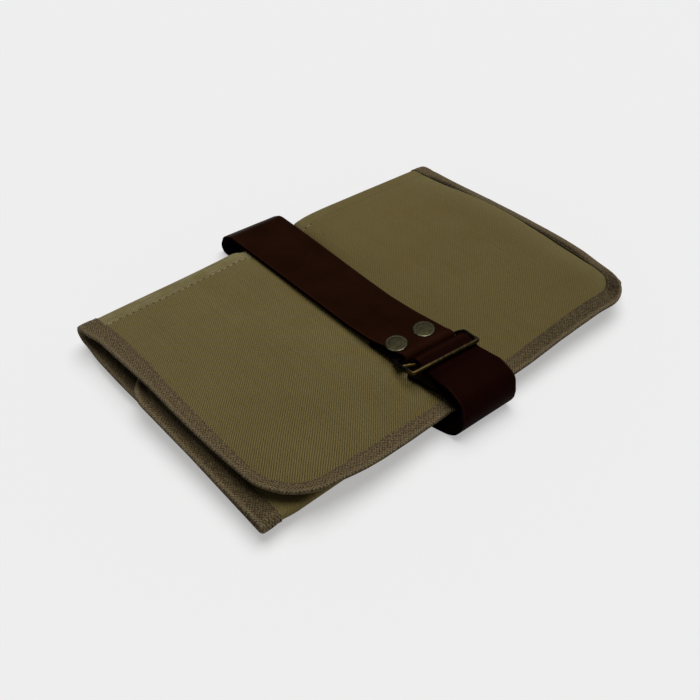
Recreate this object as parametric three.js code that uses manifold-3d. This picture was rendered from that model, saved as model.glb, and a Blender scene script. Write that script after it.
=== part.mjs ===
// Notebook roll: a canvas sheet folded in three, with tape-bound edges, held shut by a leather cinch strap.
// Millimetres. +X runs along the roll, +Y from its front fold to its back fold, +Z up; it lies on Z = 0.
import * as THREE from 'three';
import { mergeVertices } from 'three/addons/utils/BufferGeometryUtils.js';
import Module from 'manifold-3d';

// The canvas sheet
const SHEET_LENGTH = 250;
const CANVAS = 1.2;
const CORNER_RADIUS = 25;
const FRONT_Y = -79.8;
const BACK_Y = 79.2;
const BACK_REACH = 5.5;
const INNER_Y = 34;
const FLAP_CREST = 0.45;
const FLAP_SHIFT = 2.4;
const FLAP_TWIST = 2;
const FLAP_TAPER = 0.03;
const BOTTOM_SHIFT = -0.3;
const INNER_SHIFT = -3.4;

// Lengths of the five stretches of the sheet, from the inner flap's free edge to the top flap's front edge
const INNER_LENGTH = 113;
const FRONT_FOLD_LENGTH = 5;
const BOTTOM_LENGTH = 153;
const BACK_FOLD_LENGTH = 16;
const FLAP_LENGTH = 162;
const FRONT_FOLD_START = INNER_LENGTH;
const BOTTOM_START = FRONT_FOLD_START + FRONT_FOLD_LENGTH;
const BACK_FOLD_START = BOTTOM_START + BOTTOM_LENGTH;
const FLAP_START = BACK_FOLD_START + BACK_FOLD_LENGTH;
const SHEET_WIDTH = FLAP_START + FLAP_LENGTH;

// Cross-sections of the folded sheet along the roll. All heights are of the middle of the canvas.
// floor: bottom panel; fold: height of the front fold; back: top of the back fold; crown: middle of the
// flap; lip: front edge of the flap; reach: how far forward that edge lies; inner: inner flap's free edge
const SECTIONS = [
  { x: -125, floor: 5.5, fold: 3.7, back: 14.6, crown: 17.2, lip: 15.5, reach: -83, inner: 12.9 },
  { x: -100, floor: 5.5, fold: 3.5, back: 14.8, crown: 16.4, lip: 14.4, reach: -84.3, inner: 12.6 },
  { x: -60, floor: 5.5, fold: 2.6, back: 14.8, crown: 14.8, lip: 12, reach: -86, inner: 11 },
  { x: -40, floor: 5.5, fold: 2.2, back: 15.4, crown: 14, lip: 10.8, reach: -87, inner: 10 },
  { x: -24, floor: 5.5, fold: 2, back: 13, crown: 11.8, lip: 9.9, reach: -87.4, inner: 9 },
  { x: 13, floor: 5.5, fold: 2, back: 13.2, crown: 11.8, lip: 9.9, reach: -88.2, inner: 9 },
  { x: 28, floor: 5.5, fold: 2.2, back: 17.4, crown: 14.4, lip: 10.4, reach: -88.8, inner: 10 },
  { x: 60, floor: 5.5, fold: 2.6, back: 16.6, crown: 17, lip: 11.2, reach: -89.5, inner: 11 },
  { x: 100, floor: 5.5, fold: 3.5, back: 16, crown: 19.2, lip: 12.4, reach: -90.3, inner: 12.2 },
  { x: 114, floor: 5.5, fold: 3.7, back: 15.2, crown: 17.8, lip: 12.2, reach: -90.4, inner: 12 },
  { x: 125, floor: 5.5, fold: 3.7, back: 13.6, crown: 13.2, lip: 11.6, reach: -90.5, inner: 11.2 },
];

// The binding tape, folded over the edge of the sheet
const TAPE_WIDTH = 9.5;
const TAPE = 0.7;
const TAPE_GAP = 0.3;

// The strap
const STRAP_X = -4;
const STRAP = 2.2;
const STRAP_SKEW = -0.12;

// The strap's route, seen from its near edge: a row for each bend, with the bend's radius.
// skew: how far that bend is turned with the rings, from 0 to 1; near, far: X of the strap's two edges
const ROUTE = [
  { y: -30, z: 13.5, radius: 0, skew: 0, near: -20.7, far: 12.7 },
  { y: -47.2, z: 15.05, radius: 2.5, skew: 0.8, near: -18.4, far: 12.7 },
  { y: -49.6, z: 13, radius: 2.5, skew: 1, near: -17.4, far: 12.7 },
  { y: -55.1, z: 13, radius: 2.3, skew: 1, near: -15.2, far: 12.7 },
  { y: -55.1, z: 17.9, radius: 2.3, skew: 1, near: -15.2, far: 12.7 },
  { y: -48.8, z: 17.9, radius: 6, skew: 0.8, near: -17.6, far: 12.7 },
  { y: -28, z: 16, radius: 30, skew: 0, near: -20.7, far: 12.7 },
  { y: -12, z: 14.8, radius: 40, skew: 0, near: -20.7, far: 12.7 },
  { y: 86, z: 15.8, radius: 16, skew: 0, near: -20.7, far: 12.7 },
  { y: 98.6, z: 11.8, radius: 5, skew: 0, near: -20.7, far: 12.7 },
  { y: 98.6, z: 1.1, radius: 6.5, skew: 0, near: -21, far: 12.4 },
  { y: 54, z: 1.1, radius: 20, skew: 0, near: -21, far: 12.4 },
  { y: 43, z: 3.5, radius: 20, skew: 0, near: -21, far: 12.4 },
  { y: -93.3, z: 3.5, radius: 5, skew: 0.4, near: -22, far: 11.6 },
  { y: -93.3, z: 14.4, radius: 4.2, skew: 0.4, near: -21.6, far: 11.8 },
  { y: -80, z: 15, radius: 20, skew: 0.6, near: -20.4, far: 12.6 },
  { y: -70, z: 13.3, radius: 15, skew: 1, near: -18.6, far: 14 },
  { y: -57.5, z: 13.05, radius: 2.28, skew: 1, near: -16, far: 15.9 },
  { y: -57.5, z: 18.3, radius: 2.28, skew: 1, near: -16, far: 15.9 },
  { y: -66.7, z: 16, radius: 10, skew: 1, near: -16.2, far: 15.9 },
  { y: -81.5, z: 19.7, radius: 14, skew: 0.7, near: -18.8, far: 14.4 },
  { y: -92.5, z: 19.1, radius: 7, skew: 0.5, near: -20.4, far: 13 },
  { y: -96.1, z: 11.4, radius: 10, skew: 0.4, near: -21.6, far: 12 },
  { y: -96.1, z: 1.1, radius: 7, skew: 0.4, near: -22.2, far: 11.6 },
  { y: 40, z: 1.1, radius: 0, skew: 0, near: -21.6, far: 11.8 },
];
const BEND_STEP = THREE.MathUtils.degToRad(20);
const SHORTEST_STEP = 0.05;

// The two rings, one inside the other: each is placed by its rear bar and by how far its front bar is lifted
const WIRE = 2.2;
const RING_X = 0.8;
const RINGS = [
  { name: 'ring_inner', inside: 33.4, depth: 6.95, corner: 1.6, y: -52.8, z: 15.35, lift: 0 },
  { name: 'ring_outer', inside: 38.1, depth: 14.73, corner: 3, y: -50.5, z: 15.35, lift: 13.9 },
];

// The two rivets
const RIVET_X = -4.9;
const RIVET_Y = -43.7;
const RIVET_SKEW = 0.6;
const RIVET_SPREAD = 8.9;
const RIVET_CAP = 11.2;
const RIVET_CAP_HEIGHT = 1.1;
const RIVET_FOOT = 5.2;
const RIVET_FOOT_HEIGHT = 0.6;
const RIVET_POST = 3;
const RIVET_HOLE = 3.8;
const RIVET_PLAY = 0.2;

const MATERIALS = {
  canvas: { color: 0x5f5434, roughness: 0.95, metalness: 0 },
  tape: { color: 0x524733, roughness: 0.95, metalness: 0 },
  leather: { color: 0x1c0b04, roughness: 0.5, metalness: 0 },
  brass: { color: 0x6e5c38, roughness: 0.4, metalness: 1 },
  nickel: { color: 0x6a6450, roughness: 0.45, metalness: 1 },
};

const { lerp, smoothstep, degToRad } = THREE.MathUtils;

function makeMesh(name, geometry, material) {
  const mesh = new THREE.Mesh(geometry, new THREE.MeshStandardMaterial(MATERIALS[material]));
  mesh.name = name;
  return mesh;
}

function makeGeometry(vertices, triangles) {
  const geometry = new THREE.BufferGeometry();
  const position = vertices.flatMap((p) => [p.x, p.y, p.z]);
  geometry.setAttribute('position', new THREE.Float32BufferAttribute(position, 3));
  geometry.setIndex(triangles);
  geometry.computeVertexNormals();
  return geometry;
}

// Joins outlines of equal count into one solid: a closed loop of them, or a run with a flat cap at each end.
// Outlines run anticlockwise as seen from the end that the run goes towards.
function skinOutlines(outlines, closed) {
  const count = outlines[0].length;
  const triangles = [];
  const runs = closed ? outlines.length : outlines.length - 1;
  for (let i = 0; i < runs; i++) {
    const here = i * count;
    const next = ((i + 1) % outlines.length) * count;
    for (let j = 0; j < count; j++) {
      const k = (j + 1) % count;
      triangles.push(here + j, here + k, next + k, here + j, next + k, next + j);
    }
  }
  if (!closed) {
    const last = (outlines.length - 1) * count;
    for (let j = 1; j < count - 1; j++) {
      triangles.push(0, j + 1, j, last, last + j, last + j + 1);
    }
  }
  return makeGeometry(outlines.flat(), triangles);
}

// The sections' values at x, on a smooth curve through the table's rows
function sectionAt(x) {
  const last = SECTIONS.length - 1;
  const at = THREE.MathUtils.clamp(x, SECTIONS[0].x, SECTIONS[last].x);
  let i = 0;
  while (i < last - 1 && at > SECTIONS[i + 1].x) i++;
  const a = SECTIONS[i];
  const b = SECTIONS[i + 1];
  const before = SECTIONS[Math.max(i - 1, 0)];
  const after = SECTIONS[Math.min(i + 2, last)];
  const span = b.x - a.x;
  const t = (at - a.x) / span;
  const section = {};
  for (const key of Object.keys(a)) {
    const slopeA = ((b[key] - before[key]) / (b.x - before.x)) * span;
    const slopeB = ((after[key] - a[key]) / (after.x - a.x)) * span;
    section[key] = (1 + 2 * t) * (1 - t) ** 2 * a[key] + t * (1 - t) ** 2 * slopeA
      + t * t * (3 - 2 * t) * b[key] + t * t * (t - 1) * slopeB;
  }
  return section;
}

// Where the point (u, v) of the flat sheet lies once the sheet is folded
function foldedPoint(u, v) {
  const s = sectionAt(u);
  const foldRadius = s.fold / 2;
  const backRadius = (s.back - s.floor) / 2;
  if (v < FRONT_FOLD_START) {
    const t = v / INNER_LENGTH;
    const top = s.floor + s.fold;
    const y = lerp(INNER_Y, FRONT_Y + foldRadius, t);
    const x = u + lerp(INNER_SHIFT, BOTTOM_SHIFT, t);
    return new THREE.Vector3(x, y, top + (s.inner - top) * (1 - t) ** 2);
  }
  if (v < BOTTOM_START) {
    const angle = (Math.PI * (v - FRONT_FOLD_START)) / FRONT_FOLD_LENGTH;
    const y = FRONT_Y + foldRadius * (1 - Math.sin(angle));
    return new THREE.Vector3(u + BOTTOM_SHIFT, y, s.floor + foldRadius * (1 + Math.cos(angle)));
  }
  if (v < BACK_FOLD_START) {
    const t = (v - BOTTOM_START) / BOTTOM_LENGTH;
    const y = lerp(FRONT_Y + foldRadius, BACK_Y - BACK_REACH, t);
    return new THREE.Vector3(u + lerp(BOTTOM_SHIFT, 0, t), y, s.floor);
  }
  if (v < FLAP_START) {
    const angle = (Math.PI * (v - BACK_FOLD_START)) / BACK_FOLD_LENGTH;
    const y = BACK_Y - BACK_REACH * (1 - Math.sin(angle));
    return new THREE.Vector3(u, y, s.floor + backRadius * (1 - Math.cos(angle)));
  }
  const t = (v - FLAP_START) / FLAP_LENGTH;
  const droop = Math.max(0, (t - FLAP_CREST) / (1 - FLAP_CREST)) ** 2;
  const rise = smoothstep(t, 0, FLAP_CREST);
  const z = lerp(lerp(s.back, s.crown, rise), s.lip, droop);
  const x = u * (1 - FLAP_TAPER * droop) + FLAP_SHIFT * smoothstep(t, 0, 0.6) + FLAP_TWIST * droop;
  return new THREE.Vector3(x, lerp(BACK_Y - BACK_REACH, s.reach, t), z);
}

// The side of the sheet that faces in when it is folded
function foldedNormal(u, v) {
  const step = 0.25;
  const along = foldedPoint(u + step, v).sub(foldedPoint(u - step, v));
  const across = foldedPoint(u, v + step).sub(foldedPoint(u, v - step));
  return along.cross(across).normalize();
}

// A point of the folded sheet, lifted off its middle towards the inside of the fold
function liftedPoint(u, v, lift) {
  return foldedPoint(u, v).addScaledVector(foldedNormal(u, v), lift);
}

function evenSteps(start, end, count) {
  return Array.from({ length: count + 1 }, (_, i) => lerp(start, end, i / count));
}

// Distances from a free edge at which the rounded corners have their rows, and how far each row is drawn in
const CORNER_STEPS = 6;
const CORNER_ANGLES = evenSteps(0, Math.PI / 2, CORNER_STEPS);

function cornerInset(v) {
  const fromEdge = Math.min(v, SHEET_WIDTH - v);
  const inside = Math.max(0, CORNER_RADIUS - fromEdge);
  return CORNER_RADIUS - Math.sqrt(CORNER_RADIUS ** 2 - inside ** 2);
}

const SIDE_ROWS = [
  ...evenSteps(CORNER_RADIUS, FRONT_FOLD_START, 5),
  ...evenSteps(FRONT_FOLD_START, BOTTOM_START, 6).slice(1),
  ...evenSteps(BOTTOM_START, BACK_FOLD_START, 6).slice(1),
  ...evenSteps(BACK_FOLD_START, FLAP_START, 8).slice(1),
  ...evenSteps(FLAP_START, SHEET_WIDTH - CORNER_RADIUS, 8).slice(1),
];
const CORNER_ROWS = CORNER_ANGLES.slice(0, -1).map((angle) => CORNER_RADIUS * (1 - Math.cos(angle)));
const SHEET_ROWS = [
  ...CORNER_ROWS,
  ...SIDE_ROWS,
  ...CORNER_ROWS.map((row) => SHEET_WIDTH - row).reverse(),
];
const HALF_LENGTH = SHEET_LENGTH / 2;
const TAPE_COLUMNS = [0, TAPE_WIDTH / 2, TAPE_WIDTH].map((inset) => inset - HALF_LENGTH);
const MIDDLE_END = HALF_LENGTH - TAPE_WIDTH - 6;
const SHEET_COLUMNS = [
  ...TAPE_COLUMNS,
  ...evenSteps(-MIDDLE_END, MIDDLE_END, 16),
  ...TAPE_COLUMNS.map((u) => -u).reverse(),
];

// The canvas: a grid over the whole sheet on each of its two faces, closed by a wall round its edge
function makeCanvas() {
  const columns = SHEET_COLUMNS.length;
  const rows = SHEET_ROWS.length;
  const faceCount = columns * rows;
  const vertices = [];
  for (const lift of [CANVAS / 2, -CANVAS / 2]) {
    for (const v of SHEET_ROWS) {
      const narrowing = 1 - cornerInset(v) / HALF_LENGTH;
      for (const u of SHEET_COLUMNS) vertices.push(liftedPoint(u * narrowing, v, lift));
    }
  }
  const triangles = [];
  for (let j = 0; j < rows - 1; j++) {
    for (let i = 0; i < columns - 1; i++) {
      const a = j * columns + i;
      const [b, c, d] = [a + 1, a + columns + 1, a + columns];
      triangles.push(a, b, c, a, c, d);
      triangles.push(...[a, c, b, a, d, c].map((corner) => faceCount + corner));
    }
  }
  const rim = [];
  for (let i = 0; i < columns - 1; i++) rim.push(i);
  for (let j = 0; j < rows - 1; j++) rim.push(j * columns + columns - 1);
  for (let i = columns - 1; i > 0; i--) rim.push((rows - 1) * columns + i);
  for (let j = rows - 1; j > 0; j--) rim.push(j * columns);
  rim.forEach((a, k) => {
    const b = rim[(k + 1) % rim.length];
    triangles.push(a, faceCount + a, faceCount + b, a, faceCount + b, b);
  });
  return makeGeometry(vertices, triangles);
}

// The edge of the flat sheet, anticlockwise: each place on it and the direction out of the sheet there
function sheetEdge() {
  const edge = [];
  const place = (u, v, outU, outV) => edge.push({ u, v, outU, outV });
  const centreU = HALF_LENGTH - CORNER_RADIUS;
  const centreV = SHEET_WIDTH - CORNER_RADIUS;
  const corner = (u, v, start) => {
    for (const angle of CORNER_ANGLES) {
      const outU = Math.cos(start + angle);
      const outV = Math.sin(start + angle);
      place(u + CORNER_RADIUS * outU, v + CORNER_RADIUS * outV, outU, outV);
    }
  };
  const straight = evenSteps(-centreU, centreU, 15).slice(1, -1);
  const sides = SIDE_ROWS.slice(1, -1);
  corner(-centreU, CORNER_RADIUS, Math.PI);
  straight.forEach((u) => place(u, 0, 0, -1));
  corner(centreU, CORNER_RADIUS, -Math.PI / 2);
  sides.forEach((v) => place(HALF_LENGTH, v, 1, 0));
  corner(centreU, centreV, 0);
  straight.toReversed().forEach((u) => place(u, SHEET_WIDTH, 0, 1));
  corner(-centreU, centreV, Math.PI / 2);
  sides.toReversed().forEach((v) => place(-HALF_LENGTH, v, -1, 0));
  return edge;
}

// The binding: a channel of tape swept round the edge of the sheet, with the canvas inside it
function makeBinding() {
  const near = CANVAS / 2 + TAPE_GAP;
  const far = near + TAPE;
  const middle = -TAPE_WIDTH / 2;
  const nose = TAPE_GAP + TAPE;
  const channel = [
    [-TAPE_WIDTH, far], [middle, far], [0, far], [nose, near / 2],
    [nose, -near / 2], [0, -far], [middle, -far], [-TAPE_WIDTH, -far],
    [-TAPE_WIDTH, -near], [middle, -near], [TAPE_GAP, -near],
    [TAPE_GAP, near], [middle, near], [-TAPE_WIDTH, near],
  ];
  const outlines = sheetEdge().map(({ u, v, outU, outV }) => {
    const rim = foldedPoint(u, v);
    const outward = rim.clone().sub(foldedPoint(u - outU, v - outV)).normalize();
    return channel.map(([out, lift]) => {
      if (out > 0) return liftedPoint(u, v, lift).addScaledVector(outward, out);
      return liftedPoint(u + out * outU, v + out * outV, lift);
    });
  });
  return skinOutlines(outlines, true);
}

// The points of one bend of the route: a single one, or an arc between the stretches before and after it
function bendPoints(i) {
  const { y, z, radius } = ROUTE[i];
  const at = new THREE.Vector2(y, z);
  if (radius === 0) return [at];
  const back = new THREE.Vector2(ROUTE[i - 1].y, ROUTE[i - 1].z).sub(at).normalize();
  const ahead = new THREE.Vector2(ROUTE[i + 1].y, ROUTE[i + 1].z).sub(at).normalize();
  const half = back.angleTo(ahead) / 2;
  const turn = Math.PI - 2 * half;
  const centre = at.clone().addScaledVector(back.clone().add(ahead).normalize(), radius / Math.sin(half));
  const spoke = at.clone().addScaledVector(back, radius / Math.tan(half)).sub(centre);
  const sense = -Math.sign(back.cross(ahead));
  const steps = Math.max(2, Math.ceil(turn / BEND_STEP));
  const round = (angle) => spoke.clone().rotateAround(new THREE.Vector2(), sense * angle).add(centre);
  return evenSteps(0, turn, steps).map(round);
}

// The middle of the strap along its route, with its turn and its two edges blended from bend to bend
function strapLine() {
  const line = [];
  ROUTE.forEach((_, i) => {
    for (const at of bendPoints(i)) {
      const step = line.length === 0 ? 0 : line.at(-1).at.distanceTo(at);
      const travelled = line.length === 0 ? 0 : line.at(-1).travelled + step;
      if (line.length === 0 || step > SHORTEST_STEP) line.push({ at, bend: i, travelled });
    }
  });
  const middles = ROUTE.map((_, i) => {
    const own = line.filter(({ bend }) => bend === i);
    return (own[0].travelled + own.at(-1).travelled) / 2;
  });
  return line.map(({ at, travelled }) => {
    const reached = middles.findIndex((middle, i) => i > 0 && travelled <= middle);
    const next = reached < 0 ? middles.length - 1 : reached;
    const [from, to] = [ROUTE[next - 1], ROUTE[next]];
    const blend = smoothstep(travelled, middles[next - 1], middles[next]);
    const value = (key) => lerp(from[key], to[key], blend);
    return { at, skew: value('skew'), near: value('near'), far: value('far') };
  });
}

// A point of the strap's edge at x, turned about the strap's middle where it runs through the rings
function strapPoint(x, at, skew) {
  return new THREE.Vector3(x, at.x + STRAP_SKEW * skew * (x - STRAP_X), at.y);
}

// The strap: a rectangle swept along the route
function makeStrap() {
  const line = strapLine();
  const outlines = line.map(({ at, skew, near, far }, i) => {
    const before = line[Math.max(i - 1, 0)].at;
    const after = line[Math.min(i + 1, line.length - 1)].at;
    const back = at.clone().sub(before).normalize();
    const ahead = after.clone().sub(at).normalize();
    const along = back.clone().add(ahead).normalize();
    const spread = STRAP / 2 / Math.max(along.dot(ahead), along.dot(back));
    const up = new THREE.Vector2(-along.y, along.x).multiplyScalar(spread);
    const over = at.clone().add(up);
    const under = at.clone().sub(up);
    return [strapPoint(near, under, skew), strapPoint(near, over, skew),
      strapPoint(far, over, skew), strapPoint(far, under, skew)];
  });
  return skinOutlines(outlines, false);
}

// A ring: wire bent to a rectangle with round corners, lying in the plane z = 0 with its rear bar on y = 0
function makeRing(inside, depth, corner) {
  const halfWidth = (inside + WIRE) / 2;
  const sides = 8;
  const corners = [
    [halfWidth - corner, -corner, 0],
    [corner - halfWidth, -corner, Math.PI / 2],
    [corner - halfWidth, corner - depth, Math.PI],
    [halfWidth - corner, corner - depth, 1.5 * Math.PI],
  ];
  const wireOutline = (x, y, angle) => {
    const out = new THREE.Vector3(Math.cos(angle), Math.sin(angle), 0);
    const centre = new THREE.Vector3(x, y, 0).addScaledVector(out, corner);
    return evenSteps(0, 2 * Math.PI, sides).slice(0, -1).map((round) => centre.clone()
      .addScaledVector(out, (WIRE / 2) * Math.cos(round))
      .add(new THREE.Vector3(0, 0, (-WIRE / 2) * Math.sin(round))));
  };
  const cornerOutlines = ([x, y, start]) => evenSteps(start, start + Math.PI / 2, 4)
    .map((angle) => wireOutline(x, y, angle));
  return skinOutlines(corners.flatMap(cornerOutlines), true);
}

// A rivet on the Z axis: a cap above, a post through both layers of leather and a flatter foot below
function makeRivet(grip) {
  const cap = RIVET_CAP / 2;
  const foot = RIVET_FOOT / 2;
  const post = RIVET_POST / 2;
  const half = grip / 2;
  const profile = [
    [0, -half - RIVET_FOOT_HEIGHT], [foot - 0.4, -half - RIVET_FOOT_HEIGHT], [foot, -half],
    [post, -half], [post, half],
    [cap - 0.3, half], [cap, half + 0.4], [cap - 0.8, half + RIVET_CAP_HEIGHT], [0, half + RIVET_CAP_HEIGHT],
  ].map(([radius, height]) => new THREE.Vector2(radius, height));
  return new THREE.LatheGeometry(profile, 16).rotateX(Math.PI / 2);
}

const wasm = await Module();
wasm.setup();

function toSolid(geometry) {
  const bare = geometry.clone();
  bare.deleteAttribute('normal');
  bare.deleteAttribute('uv');
  const merged = mergeVertices(bare);
  const vertProperties = new Float32Array(merged.attributes.position.array);
  const triVerts = new Uint32Array(merged.index.array);
  return new wasm.Manifold(new wasm.Mesh({ numProp: 3, vertProperties, triVerts }));
}

function toGeometry(solid) {
  const { vertProperties, triVerts } = solid.getMesh();
  const geometry = new THREE.BufferGeometry();
  geometry.setAttribute('position', new THREE.BufferAttribute(vertProperties, 3));
  geometry.setIndex(new THREE.BufferAttribute(triVerts, 1));
  geometry.computeVertexNormals();
  return geometry;
}

// The heights at which the middle of the strap passes over y, in the order of its route
function strapHeights(y) {
  const line = strapLine().map(({ at }) => at);
  const pairs = line.slice(1).map((end, i) => [line[i], end]);
  const passing = pairs.filter(([start, end]) => (start.x - y) * (end.x - y) < 0);
  return passing.map(([start, end]) => lerp(start.y, end.y, (y - start.x) / (end.x - start.x)));
}

// Where the rivets stand: square to the strap's upper layer, half way between its two layers
const [LOWER_Z, UPPER_Z] = strapHeights(RIVET_Y);
const RIVET_TILT = Math.atan2(strapHeights(RIVET_Y + 1)[1] - UPPER_Z, 1);
const RIVET_GRIP = UPPER_Z - LOWER_Z + STRAP + 2 * RIVET_PLAY;

function placeRivet(object, side) {
  const x = RIVET_X + side * RIVET_SPREAD;
  const y = RIVET_Y + STRAP_SKEW * RIVET_SKEW * (x - STRAP_X);
  object.position.set(x, y, (UPPER_Z + LOWER_Z) / 2);
  object.rotation.x = RIVET_TILT;
  object.updateMatrix();
  return object;
}

let strap = toSolid(makeStrap());
for (const side of [-1, 1]) {
  const drill = new THREE.CylinderGeometry(RIVET_HOLE / 2, RIVET_HOLE / 2, 2 * RIVET_GRIP, 16);
  const place = placeRivet(new THREE.Object3D(), side);
  strap = strap.subtract(toSolid(drill.rotateX(Math.PI / 2).applyMatrix4(place.matrix)));
}

const notebookRoll = new THREE.Group();
notebookRoll.add(makeMesh('canvas_body', makeCanvas(), 'canvas'));
notebookRoll.add(makeMesh('edge_binding', makeBinding(), 'tape'));
notebookRoll.add(makeMesh('strap', toGeometry(strap), 'leather'));
for (const { name, inside, depth, corner, y, z, lift } of RINGS) {
  const ring = makeMesh(name, makeRing(inside, depth, corner), 'brass');
  ring.rotation.set(-degToRad(lift), 0, Math.atan(STRAP_SKEW), 'ZYX');
  ring.position.set(RING_X, y + STRAP_SKEW * (RING_X - STRAP_X), z);
  notebookRoll.add(ring);
}
notebookRoll.add(placeRivet(makeMesh('rivet_near', makeRivet(RIVET_GRIP), 'nickel'), -1));
notebookRoll.add(placeRivet(makeMesh('rivet_far', makeRivet(RIVET_GRIP), 'nickel'), 1));

// The roll lies centred over the origin
const centre = new THREE.Box3().setFromObject(notebookRoll).getCenter(new THREE.Vector3());
notebookRoll.position.set(-centre.x, -centre.y, 0);

export default notebookRoll;
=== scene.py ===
"""Notebook roll: a canvas sheet folded in three and bound with tape, held shut by a leather cinch strap."""
import math
from types import SimpleNamespace

import bpy
import numpy as np
from mathutils import Matrix, Vector


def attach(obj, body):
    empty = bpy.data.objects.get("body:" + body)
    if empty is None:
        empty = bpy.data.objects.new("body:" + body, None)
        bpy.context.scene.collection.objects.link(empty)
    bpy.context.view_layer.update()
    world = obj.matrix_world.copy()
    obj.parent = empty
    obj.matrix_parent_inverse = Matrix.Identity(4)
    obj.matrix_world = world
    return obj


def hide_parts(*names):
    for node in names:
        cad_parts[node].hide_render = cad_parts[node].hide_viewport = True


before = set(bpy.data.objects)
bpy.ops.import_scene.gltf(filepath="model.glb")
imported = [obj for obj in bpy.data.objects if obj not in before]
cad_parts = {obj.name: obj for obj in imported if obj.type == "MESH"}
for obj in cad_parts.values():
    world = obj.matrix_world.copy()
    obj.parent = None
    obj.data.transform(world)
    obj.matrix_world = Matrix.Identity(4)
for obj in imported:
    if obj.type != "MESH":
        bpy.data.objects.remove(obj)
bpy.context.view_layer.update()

# All sizes below are in millimetres, about the middle of the folded sheet; SHIFT takes them to the frame
MM = 0.001
SHIFT = np.array([0.2173, -0.8675, 0.0])

# The canvas sheet: its length, half its thickness, where it lies and folds, and how its layers are shifted
SHEET_LENGTH = 250
HALF_CANVAS = 0.6
CORNER_RADIUS = 25
BOTTOM_Z = 5.5
FRONT_Y = -79.8
BACK_Y = 79.2
BACK_REACH = 5.5
INNER_Y = 34.8
INNER_SHIFT = -3.4
BOTTOM_SHIFT = -0.3
FLAP_SHIFT = 2.4
FLAP_SHIFT_END = 0.6
FLAP_CREST = 0.45
FLAP_TWIST = 2
FLAP_TAPER = 0.03

# Lengths of the five stretches of the sheet, from the inner flap's free edge to the top flap's front edge
INNER_LENGTH = 113
FRONT_LENGTH = 5
BOTTOM_LENGTH = 153
BACK_LENGTH = 16
FLAP_LENGTH = 162
BOTTOM_START = INNER_LENGTH + FRONT_LENGTH
BACK_START = BOTTOM_START + BOTTOM_LENGTH
FLAP_START = BACK_START + BACK_LENGTH
SHEET_WIDTH = FLAP_START + FLAP_LENGTH
HALF_LENGTH = SHEET_LENGTH / 2
STRETCH_ENDS = [CORNER_RADIUS, INNER_LENGTH, BOTTOM_START, BACK_START, FLAP_START,
                SHEET_WIDTH - CORNER_RADIUS]

# Cross-sections of the folded sheet along the roll: heights of the middle of the canvas, the height of the
# front fold, and the flap's reach to the front
SECTION_KEYS = ("x", "fold", "back", "crown", "lip", "reach", "inner")
SECTIONS = np.array([
    (-125, 3.7, 14.6, 17.2, 15.5, -84.4, 11.8),
    (-100, 3.5, 14.8, 16.4, 14.4, -85.6, 11.7),
    (-80, 3.05, 14.8, 15.6, 13.2, -87.7, 11.35),
    (-60, 2.6, 14.8, 14.8, 12, -87.9, 11),
    (-40, 2.2, 15.2, 14, 10.8, -87.3, 10),
    (-28, 2, 15.4, 12.4, 10.1, -86.9, 9.3),
    (-22.5, 2, 13.2, 11.8, 9.9, -86.8, 9),
    (13, 2, 13.5, 11.8, 9.9, -89.2, 9),
    (17.5, 2, 16.7, 12.6, 10.1, -89.7, 9.3),
    (30, 2.2, 18.1, 14.6, 10.5, -90, 10),
    (60, 2.6, 17.1, 17, 11.2, -89.5, 11),
    (100, 3.1, 15.2, 19.2, 12.4, -90.1, 11),
    (114, 2.9, 14.4, 17.8, 12.2, -90.4, 10.2),
    (125, 2.9, 12.9, 13.2, 11.6, -90.5, 9.4),
])

# A seam across the flap near the back fold: its distance past the fold, its ends and its stitches
SEAM_ALONG = 5.6
SEAM_ENDS = (-114.5, 21.5)
SEAM_PITCH = 4.0
SEAM_GAP = 0.55
SEAM_LIFT = 0.02
SEAM_THREAD = 0.75

# Heights of the cloth's low relief, and how far its edges are drawn in or spread
BROAD_RIPPLE = 0.2
FINE_RIPPLE = 0.05
PUCKER = 0.1
BULGE = 2.4
RIDGE = 0.7
SEAM_DIP = 0.3
CORNER_DROOP = 1.6
RAISED_EDGE = 1.6
DISH = 0.7
BACK_DISH = 2.7
DRAWN_LEFT = 2.5
EASED_LEFT = 0.8
DRAWN_RIGHT = 0.9
SPREAD = 0.95

# The binding tape, folded over the edge of the sheet, and its stitches
TAPE_WIDTH = 9.5
TAPE_GAP = 0.04
TAPE_INSIDE = 0.15
TAPE_PITCH = 3.2
TAPE_THREAD = 0.5
STITCH_GAP = 0.4
STITCH_LIFT = 0.45
STITCH_ROW = -8.1

# The tape's section on one side of the sheet: how far out from the edge, and its outer face off the canvas;
# then its nose: how far out, and its height as a share of the canvas's
TAPE_SECTION = [
    (-9.5, 0.42), (-9.2, 0.6), (-8.7, 0.55), (-8.1, 0.42), (-7.5, 0.52), (-6.0, 0.74), (-4.0, 0.82),
    (-2.0, 0.8), (-0.6, 0.74), (0.3, 0.5)]
TAPE_NOSE = (0.8, 0.55)

# The tape's reach onto the top of the flap: down its left side by the distance past the back fold, and along
# its front by the distance along the roll; a little before the flap it changes to its own width
LEFT_REACH = np.array([
    (-20, 9.5), (0, 10.2), (10, 9.8), (30, 9.2), (45, 8.5), (66, 7), (88, 6.6), (108, 5.8),
    (127, 4.8), (137, 4.6)])
FRONT_REACH = np.array([
    (-100, 5.1), (-80, 7.4), (-60, 7.5), (-40, 6.8), (-23, 6.5), (20, 8.1), (48, 8.1), (76, 8.6),
    (100, 8.2)])
REACH_START = 30

# The tape's unevenness: its side, its puckers and how far in they are full, its slack and where that starts
TAPE_RAGGED = 0.12
TAPE_PUCKER = 0.16
PUCKER_FULL = 6
TAPE_LOOSE = 0.06
LOOSE_LIFT = 0.5

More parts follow.
